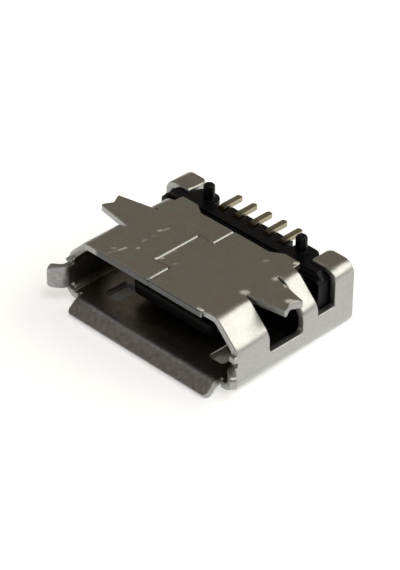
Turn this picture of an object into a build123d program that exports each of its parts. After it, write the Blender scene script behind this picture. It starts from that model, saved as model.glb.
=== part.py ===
from build123d import *
import os

# A surface-mount micro-B data socket: a folded sheet shell, a moulded housing and five contacts.
# It lies on its wide face, as it rests on a table, so the side that is soldered to a board is up.
# X runs across the mouth, -Y points out of the mouth, +Z points out of the board side.
# The origin is on the board plane, on the centre line, midway along the solder wings.
# All sizes are in millimetres. A depth is measured back from the front edge of the mouth,
# and a height up from the outside of the wide face.

# Sheet metal
sheet = 0.25
bend_radius = 0.20
shoulder_radius = 0.40
seam_gap = 0.04

# Mouth, inside the sheet, and how far each upper corner leans in
mouth_width = 6.90
mouth_height = 1.85
mouth_straight = 1.10
shoulder_run = 0.75

# Rear edge of the board side, with an ear on each side
top_depth = 3.76
ear_depth = 0.26
ear_inset = 0.12
ear_width = 1.11
ear_ramp = 0.42
ear_radius = 0.12
ear_curve = 0.30

# Rear notches, posts and folded caps, one behind the other
band_inset = 0.11
notch_length = 0.73
notch_height = 1.10
notch_radius = 0.06
post_length = 0.84
floor_inset = 0.36
rear_corner = 0.34
cap_inset = 0.04
cap_radius = 0.20

# Front corners, cut back from just outside the narrow corner on the left and inside it on the right
left_brow_run = 0.10
right_brow_inset = 0.42
brow_setback = 0.13

# Solder wings, ahead of the origin and behind it, and the side windows they are cut from
wing_setback = 2.20
wing_overhang = 0.33
wing_root_front = 0.60
wing_root_rear = 0.72
wing_tip_front = 0.36
wing_tip_rear = 0.40
fork_depth = 0.20
fork_radius = 0.06
window_gap = 0.07
window_sill = 0.80
window_inset = 0.12
window_radius = 0.16

# Dovetail joint of the sheet's two edges
dovetail_front = 0.99
dovetail_length = 1.79
dovetail_reach = 0.60
dovetail_flare = 0.06

# Flared edges of the mouth: a lip, and a flap on each side. The left one is wider than its root,
# and the right one is narrower and starts a little further back.
lip_inset = 0.40
lip_length = 0.40
lip_angle = 40
flap_root_rise = 0.23
left_flap_sag = 0.10
left_flap_drop = 0.19
right_flap_drop = 0.38
right_flap_step = 0.15
flap_length = 0.37
flap_angle = 54
flare_corner = 0.18
flare_root = 0.05
relief_width = 0.08
relief_depth = 0.14

# Latch holes in the wide face
latch_spacing = 4.57
latch_depth = 1.13
latch_width = 0.59
latch_length = 0.98
latch_radius = 0.12

# Contacts
contact_count = 5
contact_pitch = 0.65
contact_thickness = 0.16
contact_bend = 0.20
contact_gap = 0.02
blade_width = 0.32
blade_inset = 0.40
riser_inset = 0.36
tail_width = 0.23
tail_length = 0.55
tail_corner = 0.10

# Tongue of the housing
tongue_side = 0.29
tongue_thickness = 0.50
tongue_rise = 0.30
tongue_front = 0.98
tongue_corner = 0.26
tongue_chamfer = 0.07

# Housing behind the tongue
housing_gap = 0.03
block_lead = 0.55
housing_inset = 0.24
comb_step = 0.18
comb_wall = 0.08
comb_notch_width = 0.17
comb_notch_length = 0.25
lug_corner = 0.36
lug_corner_share = 0.40
bar_inset = 0.06
pad_drop = 0.10
pad_bevel = 0.24

# Locating pegs
peg_gap = 0.145
peg_inset = 0.36
peg_diameter = 0.38
peg_length = 0.44
peg_round = 0.10

# Heights that follow from the sheet and the mouth
shell_height = mouth_height + 2 * sheet
wide_inner = sheet - shell_height
wide_outer = -shell_height
board_inner = -sheet
kink = wide_inner + mouth_straight
tongue_floor = wide_inner + tongue_rise

# Widths that follow from the mouth, each from the centre line
half_width = mouth_width / 2
half_narrow = half_width - shoulder_run
outer_half = half_width + sheet
beyond = outer_half + sheet
ear_end = half_narrow - ear_inset
ear_start = ear_end - ear_width
cap_start = half_narrow - cap_inset
window_start = half_narrow - window_inset
wing_reach = outer_half + wing_overhang

# Depths that follow from the board side's length
band_depth = top_depth - band_inset
ear_rear = top_depth + ear_depth
post_depth = band_depth + notch_length
shell_depth = post_depth + post_length
floor_depth = shell_depth - floor_inset
block_front = band_depth - block_lead
block_step = band_depth + sheet
housing_rear = shell_depth - housing_inset
comb_rear = housing_rear - comb_step
comb_notch_front = comb_rear - comb_notch_length

# The row of contacts, and the comb and pegs beside it
contact_places = [contact_pitch * (n - (contact_count - 1) / 2) for n in range(contact_count)]
tongue_half = contact_places[-1] + blade_width / 2 + tongue_side
comb_half = contact_places[-1] + tail_width / 2 + comb_wall
lug_start = comb_half + comb_notch_width
peg_x = lug_start + peg_gap + peg_diameter / 2
lug_width = cap_start - housing_gap - lug_start
lug_round = min(lug_corner, lug_corner_share * lug_width)


def back(depth):
    # Y of a point that lies this far behind the front edge of the mouth
    return depth - wing_setback


def across(depth):
    # Plane across the socket at a depth, with X to the right and Z up
    return Plane.XZ.offset(-back(depth))


def mouth_outline(plane, grow=0.0):
    # The mouth's outline inside the sheet, or grown to the sheet's outside or drawn in by a gap
    with BuildSketch(plane) as outline:
        with BuildLine():
            Polyline(
                (-half_width, wide_inner),
                (half_width, wide_inner),
                (half_width, kink),
                (half_narrow, board_inner),
                (-half_narrow, board_inner),
                (-half_width, kink),
                close=True,
            )
        make_face()
        rows = outline.vertices().group_by(Axis.Y)
        fillet(rows[0] + rows[2], bend_radius)
        fillet(outline.vertices().group_by(Axis.Y)[2], shoulder_radius)
        if grow:
            offset(amount=grow)
    return outline.sketch


def box_outline(plane, grow=0.0):
    # The square-topped outline of the rear posts and their folded caps
    with BuildSketch(plane) as outline:
        with Locations((0, (wide_inner + board_inner) / 2)):
            RectangleRounded(mouth_width, mouth_height, bend_radius)
        if grow:
            offset(amount=grow)
    return outline.sketch


def flared_edge(plane, half, length, angle):
    # A strip of sheet that turns outwards from the mouth and ends in two rounded corners
    with BuildPart() as strip:
        with BuildSketch(plane):
            with BuildLine():
                root = Line((-flare_root, 0), (0, 0))
                turn = JernArc(root @ 1, root % 1, bend_radius + sheet, angle)
                Line(turn @ 1, turn @ 1 + (turn % 1) * length)
                offset(amount=sheet, side=Side.LEFT)
            make_face()
        extrude(amount=half, both=True)
        tip = strip.faces().sort_by(Axis.Y)[0]
        fillet(tip.edges().group_by(SortBy.LENGTH)[0], flare_corner)
    return strip.part


with BuildPart() as shell:
    # Front tube and square rear frame, both of one sheet thickness
    extrude(mouth_outline(across(0), sheet), amount=-band_depth)
    extrude(box_outline(across(band_depth), sheet), amount=band_depth - shell_depth)
    extrude(mouth_outline(across(0)), amount=-band_depth, mode=Mode.SUBTRACT)
    extrude(box_outline(across(band_depth)), amount=band_depth - shell_depth, mode=Mode.SUBTRACT)

    # Rear notches: behind the middle band the side walls stop low, as far back as the posts
    with BuildSketch(Plane.YZ) as notch:
        with BuildLine():
            Polyline(
                (back(band_depth), wide_outer + notch_height),
                (back(post_depth), wide_outer + notch_height),
                (back(post_depth), sheet),
                (back(band_depth), sheet),
                close=True,
            )
        make_face()
        fillet(notch.vertices().group_by(Axis.Y)[0], notch_radius)
    extrude(amount=beyond, both=True, mode=Mode.SUBTRACT)

    # Opening between the folded caps, with the caps' inner rear corners rounded
    with BuildSketch(Plane.XY.offset(sheet)):
        with Locations((0, back(band_depth))):
            Rectangle(2 * cap_start, shell_depth, align=(Align.CENTER, Align.MIN))
    extrude(amount=-2 * sheet - bend_radius, mode=Mode.SUBTRACT)
    cap_corners = shell.edges().filter_by(Axis.Z).group_by(Axis.Y)[-1]
    fillet(cap_corners.filter_by(lambda edge: edge.length < 2 * sheet), cap_radius)

    # The wide face stops short of the posts' rear edges, and their lower corners are rounded
    with BuildSketch(Plane.XY.offset(wide_outer - sheet)):
        with Locations((0, back(floor_depth))):
            Rectangle(mouth_width, shell_depth, align=(Align.CENTER, Align.MIN))
    extrude(amount=2 * sheet, mode=Mode.SUBTRACT)
    with BuildSketch(Plane.YZ) as corner:
        with Locations((back(shell_depth), wide_outer)):
            Rectangle(rear_corner, rear_corner, align=(Align.MAX, Align.MIN))
        with Locations((back(shell_depth) - rear_corner, wide_outer + rear_corner)):
            Circle(rear_corner, mode=Mode.SUBTRACT)
    extrude(amount=beyond, both=True, mode=Mode.SUBTRACT)

    # Side windows, and the wings that stay flat where the sheet was cut free
    for side in (-1, 1):
        with BuildSketch(Plane.YZ.offset(side * window_start)) as window:
            with BuildLine():
                Polyline(
                    (-wing_root_front - window_gap, wide_outer + window_sill),
                    (wing_root_rear + window_gap, wide_outer + window_sill),
                    (wing_root_rear + window_gap, sheet),
                    (-wing_root_front - window_gap, sheet),
                    close=True,
                )
            make_face()
            fillet(window.vertices().group_by(Axis.Y)[0], window_radius)
        extrude(amount=side * beyond, mode=Mode.SUBTRACT)
        with BuildSketch(Plane.XY) as wing:
            with BuildLine():
                Polyline(
                    (side * (window_start - sheet), -wing_root_front),
                    (side * window_start, -wing_root_front),
                    (side * wing_reach, -wing_tip_front),
                    (side * (wing_reach - fork_depth), (wing_tip_rear - wing_tip_front) / 2),
                    (side * wing_reach, wing_tip_rear),
                    (side * window_start, wing_root_rear),
                    (side * (window_start - sheet), wing_root_rear),
                    close=True,
                )
            make_face()
            fork = wing.vertices().filter_by(lambda v: abs(v.X) > wing_reach - 2 * fork_depth)
            fillet(fork, fork_radius)
        extrude(amount=-sheet)

    # Rear of the board side: a straight middle with a rounded ear on each side
    with BuildSketch(Plane.XY) as apron:
        with BuildLine():
            Polyline(
                (-ear_end, back(band_depth - sheet)),
                (ear_end, back(band_depth - sheet)),
                (ear_end, back(ear_rear)),
                (ear_start + ear_ramp, back(ear_rear)),
                (ear_start, back(top_depth)),
                (-ear_start, back(top_depth)),
                (-ear_start - ear_ramp, back(ear_rear)),
                (-ear_end, back(ear_rear)),
                close=True,
            )
        make_face()
        corners = apron.vertices().filter_by(lambda v: v.Y > back(band_depth))
        fillet(corners.group_by(Axis.X)[0] + corners.group_by(Axis.X)[-1], ear_radius)
        fillet(corners.filter_by(lambda v: abs(v.X) < ear_end - ear_radius), ear_curve)
    extrude(amount=-sheet)

    # Dovetail joint of the sheet's two edges, along the middle of the board side
    with BuildSketch(Plane.XY.offset(sheet)):
        with BuildLine():
            Polyline(
                (0, back(-sheet)),
                (0, back(dovetail_front)),
                (-dovetail_reach, back(dovetail_front - dovetail_flare)),
                (-dovetail_reach, back(dovetail_front + dovetail_length + dovetail_flare)),
                (0, back(dovetail_front + dovetail_length)),
                (0, back(top_depth + sheet)),
            )
        trace(line_width=seam_gap)
    extrude(amount=-3 * sheet, mode=Mode.SUBTRACT)

    # The front corners beside the flat of the board side are set back a little
    with BuildSketch(across(0)):
        with Locations((-half_narrow - left_brow_run, kink)):
            Rectangle(beyond, sheet - kink, align=(Align.MAX, Align.MIN))
        with Locations((half_narrow - right_brow_inset, kink)):
            Rectangle(beyond, sheet - kink, align=(Align.MIN, Align.MIN))
    extrude(amount=-brow_setback, mode=Mode.SUBTRACT)

    # Relief slots at both ends of the lip and of the left flap, and a step back for the right flap
    lip_half = half_width - lip_inset
    flap_root = wide_inner + flap_root_rise
    left_flap_half = (kink - left_flap_drop - flap_root + left_flap_sag) / 2
    right_flap_half = (kink - right_flap_drop - flap_root) / 2
    with BuildSketch(across(0)):
        with Locations((0, wide_outer + sheet / 2)):
            with GridLocations(2 * lip_half + relief_width, 0, 2, 1):
                Rectangle(relief_width, 2 * sheet)
        with Locations((-outer_half, flap_root)):
            Rectangle(3 * sheet, left_flap_sag + relief_width, align=(Align.CENTER, Align.MAX))
        with Locations((-outer_half, kink - left_flap_drop)):
            Rectangle(3 * sheet, relief_width, align=(Align.CENTER, Align.MIN))
        with Locations((outer_half, kink - right_flap_drop + right_flap_step)):
            Rectangle(
                3 * sheet,
                relief_width + 2 * right_flap_half + right_flap_step,
                align=(Align.CENTER, Align.MAX),
            )
    extrude(amount=-relief_depth, mode=Mode.SUBTRACT)

    # Lip along the wide face, and a flap on each side wall
    lip_plane = Plane((0, back(0), wide_inner), x_dir=(0, -1, 0), z_dir=(1, 0, 0))
    left_root = (-half_width, back(0), kink - left_flap_drop - left_flap_half)
    right_root = (half_width, back(relief_depth), flap_root + right_flap_half)
    left_plane = Plane(left_root, x_dir=(0, -1, 0), z_dir=(0, 0, -1))
    right_plane = Plane(right_root, x_dir=(0, -1, 0), z_dir=(0, 0, 1))
    add(flared_edge(lip_plane, lip_half, lip_length, lip_angle))
    add(flared_edge(left_plane, left_flap_half, flap_length, flap_angle))
    add(flared_edge(right_plane, right_flap_half, flap_length, flap_angle))

    # Latch holes in the wide face, for the plug's spring hooks
    with BuildSketch(Plane.XY.offset(wide_outer - sheet)):
        with Locations((0, back(latch_depth))):
            with GridLocations(latch_spacing, 0, 2, 1):
                RectangleRounded(latch_width, latch_length, latch_radius)
    extrude(amount=3 * sheet, mode=Mode.SUBTRACT)


def contact(x, grow=0.0):
    # One bent strip: a wide blade on the tongue, a riser, and a narrow tail on the board plane.
    # Grown all round, it is the slot that the housing leaves for it.
    blade_z = tongue_floor + tongue_thickness - contact_thickness / 2
    blade_start = back(tongue_front + blade_inset) - grow
    tail_z = -contact_thickness / 2
    riser_y = back(comb_rear - riser_inset)
    with BuildPart() as strip:
        with BuildSketch(Plane.YZ.offset(x)):
            with BuildLine():
                FilletPolyline(
                    (blade_start, blade_z),
                    (riser_y, blade_z),
                    (riser_y, tail_z),
                    (back(comb_rear + tail_length) + grow, tail_z),
                    radius=contact_bend,
                )
            trace(line_width=contact_thickness + 2 * grow)
        extrude(amount=tail_width / 2 + grow, both=True)
        with BuildSketch(Plane.YZ.offset(x)):
            with BuildLine():
                Line((blade_start, blade_z), (back(block_front + contact_bend) + grow, blade_z))
            trace(line_width=contact_thickness + 2 * grow)
        extrude(amount=blade_width / 2 + grow, both=True)
        tip = strip.faces().sort_by(Axis.Y)[-1]
        if not grow:
            fillet(tip.edges().filter_by(Axis.Z), tail_corner)
    return strip.part


with BuildPart() as housing:
    # Front block in the shape of the mouth, and a square rear block that the caps fold over
    extrude(mouth_outline(across(block_front), -housing_gap), amount=block_front - block_step)
    extrude(box_outline(across(block_step), -housing_gap), amount=block_step - housing_rear)

    # Raised pad: a bevelled bar between the board side's rear edge and the caps, and a step between them
    bar_front = ear_rear + housing_gap
    with BuildSketch(across(bar_front)) as bar:
        with Locations((0, -pad_drop)):
            Rectangle(mouth_width - 2 * bar_inset, mouth_height / 2, align=(Align.CENTER, Align.MAX))
        chamfer(bar.vertices().group_by(Axis.Y)[-1], pad_bevel)
    extrude(amount=bar_front - post_depth + housing_gap)
    with BuildSketch(Plane.XY.offset(-pad_drop)):
        with Locations((0, back(bar_front))):
            Rectangle(
                2 * (lug_start + lug_width),
                housing_rear - bar_front,
                align=(Align.CENTER, Align.MIN),
            )
    extrude(amount=-mouth_height / 2)

    # The rear edge steps in behind the contacts, with a notch on each side of them
    with BuildSketch(Plane.XY.offset(sheet)):
        with Locations((0, back(comb_rear))):
            Rectangle(comb_half + lug_start, shell_depth, align=(Align.CENTER, Align.MIN))
        with Locations((0, back(comb_notch_front))):
            with GridLocations(comb_half + lug_start, 0, 2, 1):
                Rectangle(comb_notch_width, shell_depth, align=(Align.CENTER, Align.MIN))
    extrude(amount=wide_outer - sheet, mode=Mode.SUBTRACT)
    rear_edges = housing.edges().filter_by(Axis.Z).group_by(Axis.Y)[-1]
    fillet(rear_edges, lug_round)

    # Tongue, with a bevel round its front edge
    with BuildSketch(Plane.XY.offset(tongue_floor)) as outline:
        with Locations((0, back(tongue_front))):
            Rectangle(2 * tongue_half, block_front, align=(Align.CENTER, Align.MIN))
        fillet(outline.vertices().group_by(Axis.Y)[0], tongue_corner)
    extrude(amount=tongue_thickness)
    chamfer(housing.faces().sort_by(Axis.Y)[0].edges().filter_by(Axis.X), tongue_chamfer)

    # Locating pegs with rounded ends
    with BuildSketch(Plane.XY.offset(-pad_drop)):
        with Locations((0, back(housing_rear - peg_inset))):
            with GridLocations(2 * peg_x, 0, 2, 1):
                Circle(peg_diameter / 2)
    extrude(amount=pad_drop + peg_length)
    fillet(housing.edges().group_by(Axis.Z)[-1], peg_round)

    # Slots for the contacts
    for x in contact_places:
        add(contact(x, contact_gap), mode=Mode.SUBTRACT)

shell.part.label = "shell"
housing.part.label = "housing"
os.makedirs("parts", exist_ok=True)
export_step(shell.part, "parts/shell.step")
export_step(housing.part, "parts/housing.step")
for number, x in enumerate(contact_places, start=1):
    strip = contact(x)
    strip.label = f"contact_{number}"
    export_step(strip, f"parts/contact_{number}.step")
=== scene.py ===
from math import cos, radians, sin

import bmesh
import bpy
from mathutils import Matrix, Vector
from mathutils.bvhtree import BVHTree
from mathutils.geometry import area_tri, tessellate_polygon


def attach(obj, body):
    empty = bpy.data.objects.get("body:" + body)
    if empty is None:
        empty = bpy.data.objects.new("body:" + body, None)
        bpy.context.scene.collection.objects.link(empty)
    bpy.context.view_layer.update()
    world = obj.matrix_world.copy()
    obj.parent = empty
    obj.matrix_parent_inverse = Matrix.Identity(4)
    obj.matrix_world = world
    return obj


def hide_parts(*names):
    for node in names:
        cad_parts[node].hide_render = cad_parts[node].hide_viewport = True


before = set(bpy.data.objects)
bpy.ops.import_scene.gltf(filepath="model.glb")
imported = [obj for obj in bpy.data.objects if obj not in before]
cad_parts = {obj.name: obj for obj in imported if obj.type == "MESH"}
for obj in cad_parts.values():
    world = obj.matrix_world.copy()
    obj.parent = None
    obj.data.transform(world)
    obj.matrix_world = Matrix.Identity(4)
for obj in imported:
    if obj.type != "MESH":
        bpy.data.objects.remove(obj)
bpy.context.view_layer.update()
mm = 0.001

# Camera: fitted to the photograph, as angles about the socket in degrees and distances in millimetres, apart
# from how near and far it sees, in metres
cameraSettings = {
    "aim": (0.0, 0.30, -1.15),
    "azimuth": 44.64,
    "elevation": 35.13,
    "roll": 0.78,
    "distance": 92.66,
    "slide": (0.185, 0.202),
    "lens": 270.0,
    "sensor": 36.0,
    "seesFrom": 0.001,
    "seesTo": 10.0,
}


def makeCamera(settings):
    az, el, roll = (radians(settings[key]) for key in ("azimuth", "elevation", "roll"))
    back = Vector((sin(az) * cos(el), -cos(az) * cos(el), sin(el)))
    right = Vector((cos(az), sin(az), 0))
    up = back.cross(right)
    rightTurned = cos(roll) * right + sin(roll) * up
    upTurned = cos(roll) * up - sin(roll) * right
    slideX, slideY = settings["slide"]
    place = Vector(settings["aim"]) + settings["distance"] * back
    place -= slideX * rightTurned + slideY * upTurned
    data = bpy.data.cameras.new("camera")
    data.sensor_fit = "HORIZONTAL"
    data.sensor_width = settings["sensor"]
    data.lens = settings["lens"]
    data.clip_start = settings["seesFrom"]
    data.clip_end = settings["seesTo"]
    camera = bpy.data.objects.new("camera", data)
    turn = Matrix((rightTurned, upTurned, back)).transposed().to_4x4()
    camera.matrix_world = Matrix.Translation(place * mm) @ turn
    bpy.context.scene.collection.objects.link(camera)
    bpy.context.scene.camera = camera


makeCamera(cameraSettings)
bpy.context.scene.view_settings.view_transform = "Standard"
print("camera placed")


def linear(hexColour):
    # sRGB hex to linear: the lower stretch is a straight line, the rest a power of 2.4
    parts = [int(hexColour[n:n + 2], 16) / 255 for n in (1, 3, 5)]
    return [c / 12.92 if c <= 0.04045 else ((c + 0.055) / 1.055) ** 2.4 for c in parts] + [1.0]


def addNode(tree, kind, links=None, **settings):
    # One node, with its settings by attribute or input name, and its inputs linked from other sockets
    node = tree.nodes.new(kind)
    for key, value in settings.items():
        if hasattr(node, key):
            setattr(node, key, value)
        else:
            node.inputs[key.replace("_", " ")].default_value = value
    for key, socket in (links or {}).items():
        tree.links.new(socket, node.inputs[key])
    return node


def newMaterial(name):
    material = bpy.data.materials.new(name)
    material.use_nodes = True
    tree = material.node_tree
    tree.nodes.clear()
    shader = addNode(tree, "ShaderNodeBsdfPrincipled")
    addNode(tree, "ShaderNodeOutputMaterial", {"Surface": shader.outputs[0]})
    place = addNode(tree, "ShaderNodeTexCoord")
    inMm = addNode(tree, "ShaderNodeVectorMath", {0: place.outputs["Object"]}, operation="SCALE",
                   Scale=1 / mm)
    return material, tree, shader, inMm.outputs[0]


bumpStrength = 0.5  # how much of its written height a grain shows, in every material

# Shell: stamped steel sheet with a matte nickel plate. To the eye a neutral satin metal, finely grained, with
# faint brown and green patches where the plate is thin, and a few lighter marks painted on the board side:
# places worn by rubbing where it was handled, painted lighter partly as painted highlight for the light they
# scatter, and spots by the wings that are painted highlights only. Each mark is a line from x, y to x, y in
# millimetres, with its width and its strength. The board side's colours take over from the sides' in the
# stretch patchDepth of z. grainEnds, patchEnds and roughEnds are the stretch of a noise's values that is
# spread over its whole effect.
plateSettings = {
    "sideLight": "#B1B2AF",
    "sideDark": "#A8A9A6",
    "brown": "#B4A9A2",
    "green": "#ABADA2",
    "dark": "#A19F9B",
    "rubbedAndHighlit": "#ECEAE4",
    "grainPerMm": 11.0,
    "grainDetail": 3.0,
    "grainEnds": (0.35, 0.75),
    "patchPerMm": 1.9,
    "patchDetail": 3.0,
    "patchEnds": (0.38, 0.62),
    "patchDepth": (-0.06, -0.01),
    "rough": (0.30, 0.37),
    "roughEnds": (0.35, 0.65),
    "markRough": 0.28,
    "grainHeight": 0.0014,
    "marks": [
        (-1.89, -2.07, -1.77, -1.71, 0.06, 0.4),
        (-1.77, -1.71, -1.72, -1.47, 0.08, 1.0),
        (-1.98, -1.78, -1.94, -1.73, 0.10, 0.6),
        (-1.45, -1.24, -1.44, -1.20, 0.09, 0.8),
        (-1.63, -0.84, -1.60, -0.72, 0.08, 0.5),
        (-1.59, -0.45, -1.57, -0.38, 0.09, 0.3),
        (-1.68, -0.10, -1.65, -0.04, 0.10, 0.9),
        (-1.60, 0.00, -1.55, 0.22, 0.07, 0.6),
        (-0.06, -1.03, -0.04, -0.99, 0.08, 0.5),
        (-0.67, -1.20, -0.53, -1.05, 0.09, 1.0),
        (-0.60, -0.97, -0.55, -0.50, 0.07, 0.5),
        # The marks from here on lie towards the wings; the bright spots on the wings and at their roots are
        # painted highlights
        (2.45, -0.57, 2.50, -0.52, 0.20, 1.3),
        (2.62, 0.62, 2.66, 0.72, 0.17, 1.2),
        (3.70, 0.06, 3.74, 0.12, 0.16, 1.6),
        (3.86, 0.18, 3.90, 0.24, 0.14, 2.0),
        (3.05, 0.62, 3.12, 0.58, 0.12, 1.6),
        (2.10, -2.14, 2.20, -2.12, 0.10, 1.6),
        (2.48, 1.66, 2.54, 1.70, 0.12, 2.0),
        (1.75, 1.08, 1.78, 1.14, 0.12, 0.5),
    ],
}


def rubbedAndHighlightMarks(tree, inMm, marks):
    # Each mark is one where the distance to its line is nought, and fades to nought a width away from it
    total = None
    for fromX, fromY, toX, toY, width, strength in marks:
        start, run = Vector((fromX, fromY, 0)), Vector((toX - fromX, toY - fromY, 0))
        off = addNode(tree, "ShaderNodeVectorMath", {0: inMm}, operation="SUBTRACT")
        off.inputs[1].default_value = start
        along = addNode(tree, "ShaderNodeVectorMath", {0: off.outputs[0]}, operation="DOT_PRODUCT")
        along.inputs[1].default_value = run / run.length_squared
        share = addNode(tree, "ShaderNodeClamp", {0: along.outputs["Value"]})
        nearest = addNode(tree, "ShaderNodeVectorMath", {"Scale": share.outputs[0]}, operation="SCALE")
        nearest.inputs[0].default_value = run
        away = addNode(tree, "ShaderNodeVectorMath", {0: off.outputs[0], 1: nearest.outputs[0]},
                       operation="DISTANCE")
        mark = addNode(tree, "ShaderNodeMapRange", {0: away.outputs["Value"]},
                       interpolation_type="SMOOTHSTEP", From_Max=width, To_Min=strength, To_Max=0.0)
        if total is None:
            total = mark
        else:
            total = addNode(tree, "ShaderNodeMath", {0: total.outputs[0], 1: mark.outputs[0]},
                            operation="MAXIMUM")
    return total.outputs[0]


def nickelPlatedSteel(settings):
    material, tree, shader, inMm = newMaterial("matteNickelPlatedSteel")
    grain = addNode(tree, "ShaderNodeTexNoise", {"Vector": inMm}, Scale=settings["grainPerMm"],
                    Detail=settings["grainDetail"])
    patch = addNode(tree, "ShaderNodeTexNoise", {"Vector": inMm}, Scale=settings["patchPerMm"],
                    Detail=settings["patchDetail"])
    patchSpread = addNode(tree, "ShaderNodeMapRange", {0: patch.outputs[0]},
                          From_Min=settings["patchEnds"][0], From_Max=settings["patchEnds"][1])
    patched = addNode(tree, "ShaderNodeMix", {0: patchSpread.outputs[0]}, data_type="RGBA")
    patched.inputs[6].default_value = linear(settings["brown"])
    patched.inputs[7].default_value = linear(settings["green"])
    grainSpread = addNode(tree, "ShaderNodeMapRange", {0: grain.outputs[0]},
                          From_Min=settings["grainEnds"][0], From_Max=settings["grainEnds"][1])
    grained = addNode(tree, "ShaderNodeMix", {0: grainSpread.outputs[0], 6: patched.outputs[2]},
                      data_type="RGBA")
    grained.inputs[7].default_value = linear(settings["dark"])
    height = addNode(tree, "ShaderNodeSeparateXYZ", {0: inMm})
    onBoardSide = addNode(tree, "ShaderNodeMapRange", {0: height.outputs["Z"]},
                          From_Min=settings["patchDepth"][0], From_Max=settings["patchDepth"][1])
    sides = addNode(tree, "ShaderNodeMix", {0: grainSpread.outputs[0]}, data_type="RGBA")
    sides.inputs[6].default_value = linear(settings["sideLight"])
    sides.inputs[7].default_value = linear(settings["sideDark"])
    plated = addNode(tree, "ShaderNodeMix",
                     {0: onBoardSide.outputs[0], 6: sides.outputs[2], 7: grained.outputs[2]},
                     data_type="RGBA")
    # The marks are painted lighter: worn places, partly as painted highlight, and painted highlights by the
    # wings
    rubbedAndHighlit = rubbedAndHighlightMarks(tree, inMm, settings["marks"])
    colour = addNode(tree, "ShaderNodeMix", {0: rubbedAndHighlit, 6: plated.outputs[2]}, data_type="RGBA")
    colour.inputs[7].default_value = linear(settings["rubbedAndHighlit"])
    rolled = addNode(tree, "ShaderNodeMapRange", {0: patch.outputs[0]},
                     From_Min=settings["roughEnds"][0], From_Max=settings["roughEnds"][1],
                     To_Min=settings["rough"][0], To_Max=settings["rough"][1])
    duller = addNode(tree, "ShaderNodeMath", {0: rubbedAndHighlit}, operation="MULTIPLY")
    duller.inputs[1].default_value = settings["markRough"]
    rough = addNode(tree, "ShaderNodeMath", {0: rolled.outputs[0], 1: duller.outputs[0]}, operation="ADD")
    bump = addNode(tree, "ShaderNodeBump", {"Height": grain.outputs[0]}, Strength=bumpStrength,
                   Distance=settings["grainHeight"] * mm)
    tree.links.new(colour.outputs[2], shader.inputs["Base Color"])
    tree.links.new(rough.outputs[0], shader.inputs["Roughness"])
    tree.links.new(bump.outputs[0], shader.inputs["Normal"])
    shader.inputs["Metallic"].default_value = 1.0
    return material


# Inner side of the sheet: the same steel, painted somewhat darker than the outer side as painted shade for
# the shadow inside the tube. Grey and grainy at the mouth's rim, and painted darker still inwards from the
# stretch rimEnds of y, a painted shade that deepens into the tube.
innerSettings = {
    "rimLight": "#ADADAC",
    "rimDark": "#929291",
    "deepLight": "#9A9189",
    "deepDark": "#828177",
    "rimEnds": (-2.35, -1.9),
    "grainPerMm": 7.0,
    "grainDetail": 4.0,
    "grainEnds": (0.35, 0.65),
    "cloudPerMm": 2.2,
    "cloudDetail": 2.0,
    "cloudEnds": (0.4, 0.6),
    "rough": 0.38,
    "height": 0.004,
}


def innerSteelWithPaintedShade(settings):
    material, tree, shader, inMm = newMaterial("innerSteelPaintedShade")
    grain = addNode(tree, "ShaderNodeTexNoise", {"Vector": inMm}, Scale=settings["grainPerMm"],
                    Detail=settings["grainDetail"])
    spread = addNode(tree, "ShaderNodeMapRange", {0: grain.outputs[0]},
                     From_Min=settings["grainEnds"][0], From_Max=settings["grainEnds"][1])
    rim = addNode(tree, "ShaderNodeMix", {0: spread.outputs[0]}, data_type="RGBA")
    rim.inputs[6].default_value = linear(settings["rimDark"])
    rim.inputs[7].default_value = linear(settings["rimLight"])
    axes = addNode(tree, "ShaderNodeSeparateXYZ", {0: inMm})
    # Painted shade: the colour darkens from the rim inwards, for the shadow deep in the tube
    shadeInwards = addNode(tree, "ShaderNodeMapRange", {0: axes.outputs["Y"]}, interpolation_type="SMOOTHSTEP",
                      From_Min=settings["rimEnds"][0], From_Max=settings["rimEnds"][1])
    cloud = addNode(tree, "ShaderNodeTexNoise", {"Vector": inMm}, Scale=settings["cloudPerMm"],
                    Detail=settings["cloudDetail"])
    cloudSpread = addNode(tree, "ShaderNodeMapRange", {0: cloud.outputs[0]},
                          From_Min=settings["cloudEnds"][0], From_Max=settings["cloudEnds"][1])
    paintedShadeDeep = addNode(tree, "ShaderNodeMix", {0: cloudSpread.outputs[0]}, data_type="RGBA")
    paintedShadeDeep.inputs[6].default_value = linear(settings["deepDark"])
    paintedShadeDeep.inputs[7].default_value = linear(settings["deepLight"])
    colour = addNode(tree, "ShaderNodeMix", {0: shadeInwards.outputs[0], 6: rim.outputs[2], 7: paintedShadeDeep.outputs[2]},
                     data_type="RGBA")
    bump = addNode(tree, "ShaderNodeBump", {"Height": grain.outputs[0]}, Strength=bumpStrength,
                   Distance=settings["height"] * mm)
    tree.links.new(colour.outputs[2], shader.inputs["Base Color"])
    tree.links.new(bump.outputs[0], shader.inputs["Normal"])
    shader.inputs["Metallic"].default_value = 1.0
    shader.inputs["Roughness"].default_value = settings["rough"]
    return material


# Cut edges of the sheet: sheared steel, plated like the faces but with a fine streaky grain. The board
# side's front edge is painted darker: a painted shade, standing for the dark reflection of the shadowed floor
# in front. It is darker nearer the middle than shadeHalf, further forward than shadeEnds and higher than
# shadeHeight, and each of these is a short fade.
edgeSettings = {
    "light": "#B2B3B0",
    "dark": "#9A9B99",
    "shadedLight": "#686A69",
    "shadedDark": "#565856",
    "shadeHalf": (2.2, 2.35),
    "shadeEnds": (-2.1, -2.0),
    "shadeHeight": (-0.34, -0.26),
    "streaksPerMm": 22.0,
    "streakDetail": 2.0,
    "rough": 0.40,
    "height": 0.004,
}


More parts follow.
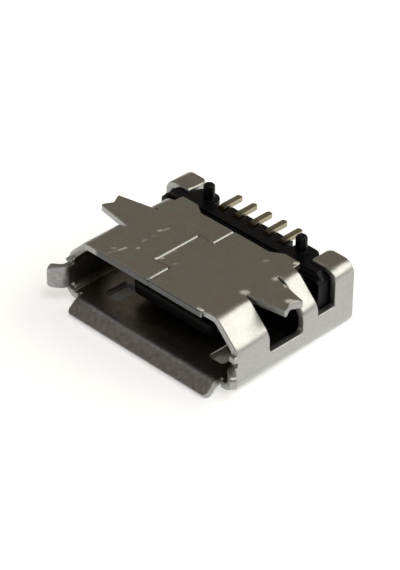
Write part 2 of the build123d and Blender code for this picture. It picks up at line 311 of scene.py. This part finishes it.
def shearedEdge(settings):
    material, tree, shader, inMm = newMaterial("shearedSheetEdge")
    streak = addNode(tree, "ShaderNodeTexNoise", {"Vector": inMm}, Scale=settings["streaksPerMm"],
                     Detail=settings["streakDetail"])
    plated = addNode(tree, "ShaderNodeMix", {0: streak.outputs[0]}, data_type="RGBA")
    plated.inputs[6].default_value = linear(settings["dark"])
    plated.inputs[7].default_value = linear(settings["light"])
    shadedEdge = addNode(tree, "ShaderNodeMix", {0: streak.outputs[0]}, data_type="RGBA")
    shadedEdge.inputs[6].default_value = linear(settings["shadedDark"])
    shadedEdge.inputs[7].default_value = linear(settings["shadedLight"])
    axes = addNode(tree, "ShaderNodeSeparateXYZ", {0: inMm})
    across = addNode(tree, "ShaderNodeMath", {0: axes.outputs["X"]}, operation="ABSOLUTE")
    (halfIn, halfOut), (endIn, endOut) = settings["shadeHalf"], settings["shadeEnds"]
    shadeLow, shadeHigh = settings["shadeHeight"]
    inWidth = addNode(tree, "ShaderNodeMapRange", {0: across.outputs[0]}, From_Min=halfIn, From_Max=halfOut,
                      To_Min=1.0, To_Max=0.0)
    inDepth = addNode(tree, "ShaderNodeMapRange", {0: axes.outputs["Y"]}, From_Min=endIn, From_Max=endOut,
                      To_Min=1.0, To_Max=0.0)
    inHeight = addNode(tree, "ShaderNodeMapRange", {0: axes.outputs["Z"]}, From_Min=shadeLow,
                       From_Max=shadeHigh)
    # Painted shade: the board side's front edge darkens where the three fades overlap
    inPlan = addNode(tree, "ShaderNodeMath", {0: inWidth.outputs[0], 1: inDepth.outputs[0]},
                     operation="MULTIPLY")
    paintedShade = addNode(tree, "ShaderNodeMath", {0: inPlan.outputs[0], 1: inHeight.outputs[0]},
                   operation="MULTIPLY")
    colour = addNode(tree, "ShaderNodeMix", {0: paintedShade.outputs[0], 6: plated.outputs[2], 7: shadedEdge.outputs[2]},
                     data_type="RGBA")
    bump = addNode(tree, "ShaderNodeBump", {"Height": streak.outputs[0]}, Strength=bumpStrength,
                   Distance=settings["height"] * mm)
    tree.links.new(colour.outputs[2], shader.inputs["Base Color"])
    tree.links.new(bump.outputs[0], shader.inputs["Normal"])
    shader.inputs["Metallic"].default_value = 1.0
    shader.inputs["Roughness"].default_value = settings["rough"]
    return material


# Housing: heat-resistant liquid-crystal polymer, moulded. Near black with a cool tinge and a soft sheen.
plasticSettings = {
    "base": "#040407",
    "dust": "#0D0D12",
    "grainPerMm": 14.0,
    "grainDetail": 3.0,
    "grainEnds": (0.4, 0.75),
    "rough": 0.33,
    "ior": 1.5,
    "specularLevel": 0.15,
    "height": 0.003,
}


def mouldedPolymer(settings):
    material, tree, shader, inMm = newMaterial("mouldedBlackPolymer")
    grain = addNode(tree, "ShaderNodeTexNoise", {"Vector": inMm}, Scale=settings["grainPerMm"],
                    Detail=settings["grainDetail"])
    spread = addNode(tree, "ShaderNodeMapRange", {0: grain.outputs[0]},
                     From_Min=settings["grainEnds"][0], From_Max=settings["grainEnds"][1])
    colour = addNode(tree, "ShaderNodeMix", {0: spread.outputs[0]}, data_type="RGBA")
    colour.inputs[6].default_value = linear(settings["base"])
    colour.inputs[7].default_value = linear(settings["dust"])
    bump = addNode(tree, "ShaderNodeBump", {"Height": grain.outputs[0]}, Strength=bumpStrength,
                   Distance=settings["height"] * mm)
    tree.links.new(colour.outputs[2], shader.inputs["Base Color"])
    tree.links.new(bump.outputs[0], shader.inputs["Normal"])
    shader.inputs["Roughness"].default_value = settings["rough"]
    shader.inputs["IOR"].default_value = settings["ior"]
    shader.inputs["Specular IOR Level"].default_value = settings["specularLevel"]
    return material


# Contacts: copper alloy strip with a thin gold plate. Dull dark gold, brighter where it catches light. Each
# contact is painted dark brown up to where its tail leaves the housing, a painted shade for the housing's
# shadow there. The shade fades out over the stretch rootShadeEnds of y, so that only the tail further back
# has its full colour; everything further forward, the blades on the tongue too, has the painted shade.
goldSettings = {
    "light": "#B5AD97",
    "dark": "#87806C",
    "rootShade": "#2E2618",
    "rootShadeEnds": (2.25, 2.62),
    "grainPerMm": 18.0,
    "grainDetail": 2.0,
    "rough": 0.33,
    "height": 0.002,
}


def goldPlatedContact(settings):
    material, tree, shader, inMm = newMaterial("goldPlatedStrip")
    grain = addNode(tree, "ShaderNodeTexNoise", {"Vector": inMm}, Scale=settings["grainPerMm"],
                    Detail=settings["grainDetail"])
    plated = addNode(tree, "ShaderNodeMix", {0: grain.outputs[0]}, data_type="RGBA")
    plated.inputs[6].default_value = linear(settings["dark"])
    plated.inputs[7].default_value = linear(settings["light"])
    axes = addNode(tree, "ShaderNodeSeparateXYZ", {0: inMm})
    # Painted shade: dark brown forward of the tail, fading to full gold rearwards along y
    alongTail = addNode(tree, "ShaderNodeMapRange", {0: axes.outputs["Y"]},
                        interpolation_type="SMOOTHSTEP",
                        From_Min=settings["rootShadeEnds"][0], From_Max=settings["rootShadeEnds"][1])
    colour = addNode(tree, "ShaderNodeMix", {0: alongTail.outputs[0], 7: plated.outputs[2]},
                     data_type="RGBA")
    colour.inputs[6].default_value = linear(settings["rootShade"])
    bump = addNode(tree, "ShaderNodeBump", {"Height": grain.outputs[0]}, Strength=bumpStrength,
                   Distance=settings["height"] * mm)
    tree.links.new(colour.outputs[2], shader.inputs["Base Color"])
    tree.links.new(bump.outputs[0], shader.inputs["Normal"])
    shader.inputs["Metallic"].default_value = 1.0
    shader.inputs["Roughness"].default_value = settings["rough"]
    return material


plate = nickelPlatedSteel(plateSettings)
innerSide = innerSteelWithPaintedShade(innerSettings)
cutEdge = shearedEdge(edgeSettings)
polymer = mouldedPolymer(plasticSettings)
gold = goldPlatedContact(goldSettings)
print("materials made")

# Finished pieces: each is the CAD node's own form with its facets joined and its sharp edges rounded off. All
# sizes and places are in millimetres. At the seam, a tab of the right plate lies in a gap of the left plate.
# tabFront and tabRear are where its edges across the seam are, and seamSpan is how far they reach sideways.
finishSettings = {
    "shell": {
        "slot": "shell_sheet",
        "round": 0.040,
        "sheet": 0.25,
        "axisHeight": -1.175,
        "topWithin": 0.01,
        "seamLeftEdges": (-0.02, -0.62),
        "seamRightEdges": (0.02, -0.58),
        "seamShut": 0.03,
        "seamRound": 0.11,
        "seamSpan": (-0.76, 0.06),
        "seamCuts": (-1.26, 0.63),
        "tabFront": (-1.3, -1.1),
        "tabRear": (0.5, 0.7),
        "endRound": 0.07,
        "longFrom": 0.1,
    },
    "housing": {"slot": "housing_plastic", "round": 0.025},
    "contact": {"slot": "contact_gold", "round": 0.018},
}
joinedWithin = 0.0002  # points nearer than this are one point
shortestEdge = 0.004  # shorter edges are taken out, and places nearer than this are the same place
flatWithin = radians(0.5)  # faces that meet at less than this are one face
sharpFrom = radians(32)  # edges sharper than this are rounded off
straightWithin = 0.02  # an edge that strays less than this runs straight back
facesRightFrom = 0.9  # a face whose normal points right by this share or more faces right
justBelow = 0.01  # a ray starts this far under the face that it looks back from
sheetReach = 1.1  # a side of the sheet has its other side within this many thicknesses
deepestRound = 0.35  # a rounded edge lies within this share of its width of the form it was cut from
roundSteps = 3  # facets across a rounded edge


def pointWithin(face):
    # The middle of the face's largest triangle, which is on the face even where it bends round a window
    corners = [vert.co for vert in face.verts]
    triangles = [[corners[n] for n in triple] for triple in tessellate_polygon([corners])]
    return sum(max(triangles, key=lambda triangle: area_tri(*triangle)), Vector()) / 3


def sheetSide(face, solid, settings):
    # 0 is the sheet's outer side, 1 its inner side, which faces the tube's middle line, and 2 a cut edge: a
    # rolled side has the other one a sheet's thickness behind it
    place = pointWithin(face)
    depth = solid.ray_cast(place - face.normal * justBelow * mm, -face.normal)[3]
    if depth is None or depth > sheetReach * settings["sheet"] * mm:
        return 2
    middle = Vector((0, place.y, settings["axisHeight"] * mm))
    return 1 if face.normal.dot(middle - place) > 0 else 0


def isNear(value, places):
    return any(abs(value - place) < shortestEdge for place in places)


def shutSeam(work, settings):
    # The right plate's edges of the seam come up to the left plate's, as the press leaves them
    (frontLow, frontHigh), (rearLow, rearHigh) = settings["tabFront"], settings["tabRear"]
    shift = settings["seamShut"]
    for vert in work.verts:
        x, y, z = vert.co / mm
        if z > -sheetReach * settings["sheet"] and isNear(x, settings["seamRightEdges"]):
            outwards = -1 if frontLow < y < frontHigh else 1 if rearLow < y < rearHigh else 0
            vert.co += Vector((-shift, outwards * shift, 0)) * mm


def cutAcrossSeam(work, settings):
    # Cuts the flat board side just inside the seam's corners, where the wide roundings of its runs end
    for place in settings["seamCuts"]:
        onTop = {vert for vert in work.verts if vert.co.z > -sheetReach * settings["sheet"] * mm}
        parts = [part for part in [*work.edges, *work.faces] if onTop.issuperset(part.verts)]
        bmesh.ops.bisect_plane(work, geom=[*onTop, *parts], plane_co=(0, place * mm, 0),
                               plane_no=(0, 1, 0))


def topEdge(edge, settings):
    return all(vert.co.z > -settings["topWithin"] * mm for vert in edge.verts)


def runsBack(edge, settings):
    # A long straight edge of the board side that runs from the mouth towards the rear
    run = edge.verts[1].co - edge.verts[0].co
    straight = abs(run.y) > settings["longFrom"] * mm and abs(run.x) < straightWithin * mm
    return straight and topEdge(edge, settings)


def seamEdge(edge, settings):
    # The left plate's edges along the seam, which the press left well rounded
    return runsBack(edge, settings) and isNear(edge.verts[0].co.x / mm, settings["seamLeftEdges"])


def closeEdge(edge, settings):
    # The seam's edges across it, which meet so closely that they hardly show
    low, high = settings["seamSpan"]
    places = [vert.co / mm for vert in edge.verts]
    inSpan = all(low < place.x < high for place in places)
    return inSpan and any(all(near < place.y < far for place in places)
                          for near, far in (settings["tabFront"], settings["tabRear"]))


def endEdge(edge, settings):
    # The other edges of the board side that face right, which catch the light
    facesRight = max(face.normal.x for face in edge.link_faces) > facesRightFrom
    return facesRight and runsBack(edge, settings)


def rounded(work, edges, width):
    bmesh.ops.bevel(work, geom=edges, offset=width * mm, offset_type="OFFSET", segments=roundSteps,
                    profile=0.5, affect="EDGES", material=-1, loop_slide=True, miter_outer="ARC")


def sharpEdges(work):
    return [edge for edge in work.edges if edge.is_manifold and edge.calc_face_angle() > sharpFrom]


def finishedCopy(nodeName, settings, materials):
    isSheet = "sheet" in settings
    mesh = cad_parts[nodeName].data.copy()
    mesh.materials.clear()
    for material in materials:
        mesh.materials.append(material)
    work = bmesh.new()
    work.from_mesh(mesh)
    bmesh.ops.remove_doubles(work, verts=work.verts, dist=joinedWithin * mm)
    bmesh.ops.dissolve_limit(work, angle_limit=flatWithin, verts=work.verts, edges=work.edges)
    bmesh.ops.dissolve_degenerate(work, dist=shortestEdge * mm, edges=work.edges)
    if isSheet:
        shutSeam(work, settings)
        cutAcrossSeam(work, settings)
    solid = BVHTree.FromBMesh(work)
    for face in work.faces:
        face.smooth = True
        face.material_index = sheetSide(face, solid, settings) if isSheet else 0
    if isSheet:
        for chosen, width in ((seamEdge, settings["seamRound"]), (endEdge, settings["endRound"])):
            rounded(work, [edge for edge in sharpEdges(work) if chosen(edge, settings)], width)
    before = BVHTree.FromBMesh(work)
    rounded(work, [edge for edge in sharpEdges(work) if not (isSheet and closeEdge(edge, settings))],
            settings["round"])
    furthest = deepestRound * settings["round"] * mm
    for vert in work.verts:
        # What a rounding threw further off the form than it can lie is pulled back
        near, _, _, away = before.find_nearest(vert.co)
        if away > furthest:
            vert.co = near + (vert.co - near) * furthest / away
    if isSheet:
        # The seam's close edges part the shading of the faces beside them
        for edge in sharpEdges(work):
            edge.smooth = not closeEdge(edge, settings)
    work.to_mesh(mesh)
    work.free()
    piece = bpy.data.objects.new(nodeName + "_finished", mesh)
    bpy.context.scene.collection.objects.link(piece)
    shading = piece.modifiers.new("evenShading", "WEIGHTED_NORMAL")
    shading.weight = 100  # the largest face at a point alone sets its shading
    shading.keep_sharp = True
    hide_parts(nodeName)
    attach(piece, "root")


finishedCopy("shell", finishSettings["shell"], [plate, innerSide, cutEdge])
finishedCopy("housing", finishSettings["housing"], [polymer])
for number in range(1, 6):
    finishedCopy(f"contact_{number}", finishSettings["contact"], [gold])
print("pieces finished")

# Floor: a plain pale sheet, laid so that the lip and the rear of the wide face both touch it. rearTouch and
# frontTouch are their y and z in millimetres. Its glow keeps it white to the eye and in reflections, but
# fades out under the socket, which the latch holes look down on, as a painted shadow under the socket.
# shadowHalfWidth and shadowHalfDepth are how far from the middle of that patch the glow begins to come back,
# and where it is whole again.
floorSettings = {
    "size": 3000.0,
    "colour": "#EDEDEC",
    "glow": 0.50,
    "rough": 0.9,
    "rearTouch": (2.66, -2.35),
    "frontTouch": (-2.87, -2.654),
    "shadowHalfWidth": (3.0, 3.5),
    "shadowHalfDepth": (2.2, 2.5),
    "shadowMiddle": 0.6,
}


def makeFloor(settings):
    (rearY, rearZ), (frontY, frontZ) = settings["rearTouch"], settings["frontTouch"]
    slope = (rearZ - frontZ) / (rearY - frontY)
    half = settings["size"] / 2
    flat = [(-half, -half), (half, -half), (half, half), (-half, half)]
    mesh = bpy.data.meshes.new("floor")
    corners = [Vector((x, y, frontZ + slope * (y - frontY))) * mm for x, y in flat]
    mesh.from_pydata(corners, [], [(0, 1, 2, 3)])
    material, tree, shader, inMm = newMaterial("matteWhitePaper")
    shader.inputs["Base Color"].default_value = linear(settings["colour"])
    shader.inputs["Roughness"].default_value = settings["rough"]
    shader.inputs["Emission Color"].default_value = linear("#FFFFFF")
    path = addNode(tree, "ShaderNodeLightPath")
    seen = addNode(tree, "ShaderNodeMath",
                   {0: path.outputs["Is Camera Ray"], 1: path.outputs["Is Glossy Ray"]}, operation="MAXIMUM")
    seenAll = addNode(tree, "ShaderNodeMath", {0: seen.outputs[0], 1: path.outputs["Is Transmission Ray"]},
                      operation="MAXIMUM")
    axes = addNode(tree, "ShaderNodeSeparateXYZ", {0: inMm})
    # Painted shadow: the glow is taken away in a patch under the socket
    across = addNode(tree, "ShaderNodeMath", {0: axes.outputs["X"]}, operation="ABSOLUTE")
    inWidth = addNode(tree, "ShaderNodeMapRange", {0: across.outputs[0]}, interpolation_type="SMOOTHSTEP",
                      From_Min=settings["shadowHalfWidth"][0], From_Max=settings["shadowHalfWidth"][1])
    fromMiddle = addNode(tree, "ShaderNodeMath", {0: axes.outputs["Y"]}, operation="SUBTRACT")
    fromMiddle.inputs[1].default_value = settings["shadowMiddle"]
    depth = addNode(tree, "ShaderNodeMath", {0: fromMiddle.outputs[0]}, operation="ABSOLUTE")
    inDepth = addNode(tree, "ShaderNodeMapRange", {0: depth.outputs[0]}, interpolation_type="SMOOTHSTEP",
                      From_Min=settings["shadowHalfDepth"][0], From_Max=settings["shadowHalfDepth"][1])
    outside = addNode(tree, "ShaderNodeMath", {0: inWidth.outputs[0], 1: inDepth.outputs[0]},
                      operation="MAXIMUM")
    unshadowed = addNode(tree, "ShaderNodeMath", {0: seenAll.outputs[0], 1: outside.outputs[0]},
                        operation="MULTIPLY")
    glow = addNode(tree, "ShaderNodeMath", {0: unshadowed.outputs[0]}, operation="MULTIPLY")
    glow.inputs[1].default_value = settings["glow"]
    tree.links.new(glow.outputs[0], shader.inputs["Emission Strength"])
    mesh.materials.append(material)
    floor = bpy.data.objects.new("floor", mesh)
    bpy.context.scene.collection.objects.link(floor)


makeFloor(floorSettings)

# Light: a dim room, one large soft lamp at the rear right, a smaller one over the camera and a faint one at
# the upper left. Distances and sizes are in millimetres.
roomGlow = {"colour": "#FFF4E1", "strength": 0.255}
lampSettings = {
    "rearRight": {
        "towards": (0.575, 0.582, 0.574),
        "distance": 400.0,
        "size": (420.0, 300.0),
        "watts": 0.95,
        "colour": "#FFFCF4",
    },
    "overCamera": {
        "towards": (0.45, -0.22, 0.86),
        "distance": 500.0,
        "size": (200.0, 200.0),
        "watts": 0.65,
        "colour": "#FBFCFF",
    },
    "upperLeft": {
        "towards": (-0.575, 0.08, 0.81),
        "distance": 500.0,
        "size": (160.0, 160.0),
        "watts": 0.07,
        "colour": "#F2F6FF",
    },
}


def makeLamp(name, settings):
    towards = Vector(settings["towards"]).normalized()
    data = bpy.data.lights.new(name, "AREA")
    data.shape = "RECTANGLE"
    data.size, data.size_y = (side * mm for side in settings["size"])
    data.energy = settings["watts"]
    data.color = linear(settings["colour"])[:3]
    lamp = bpy.data.objects.new(name, data)
    lamp.location = towards * settings["distance"] * mm
    lamp.rotation_euler = towards.to_track_quat("Z", "Y").to_euler()
    bpy.context.scene.collection.objects.link(lamp)


for name, settings in lampSettings.items():
    makeLamp(name, settings)
world = bpy.data.worlds.new("room")
world.use_nodes = True
background = world.node_tree.nodes["Background"]
background.inputs["Color"].default_value = linear(roomGlow["colour"])
background.inputs["Strength"].default_value = roomGlow["strength"]
bpy.context.scene.world = world
print("floor and lamps placed")
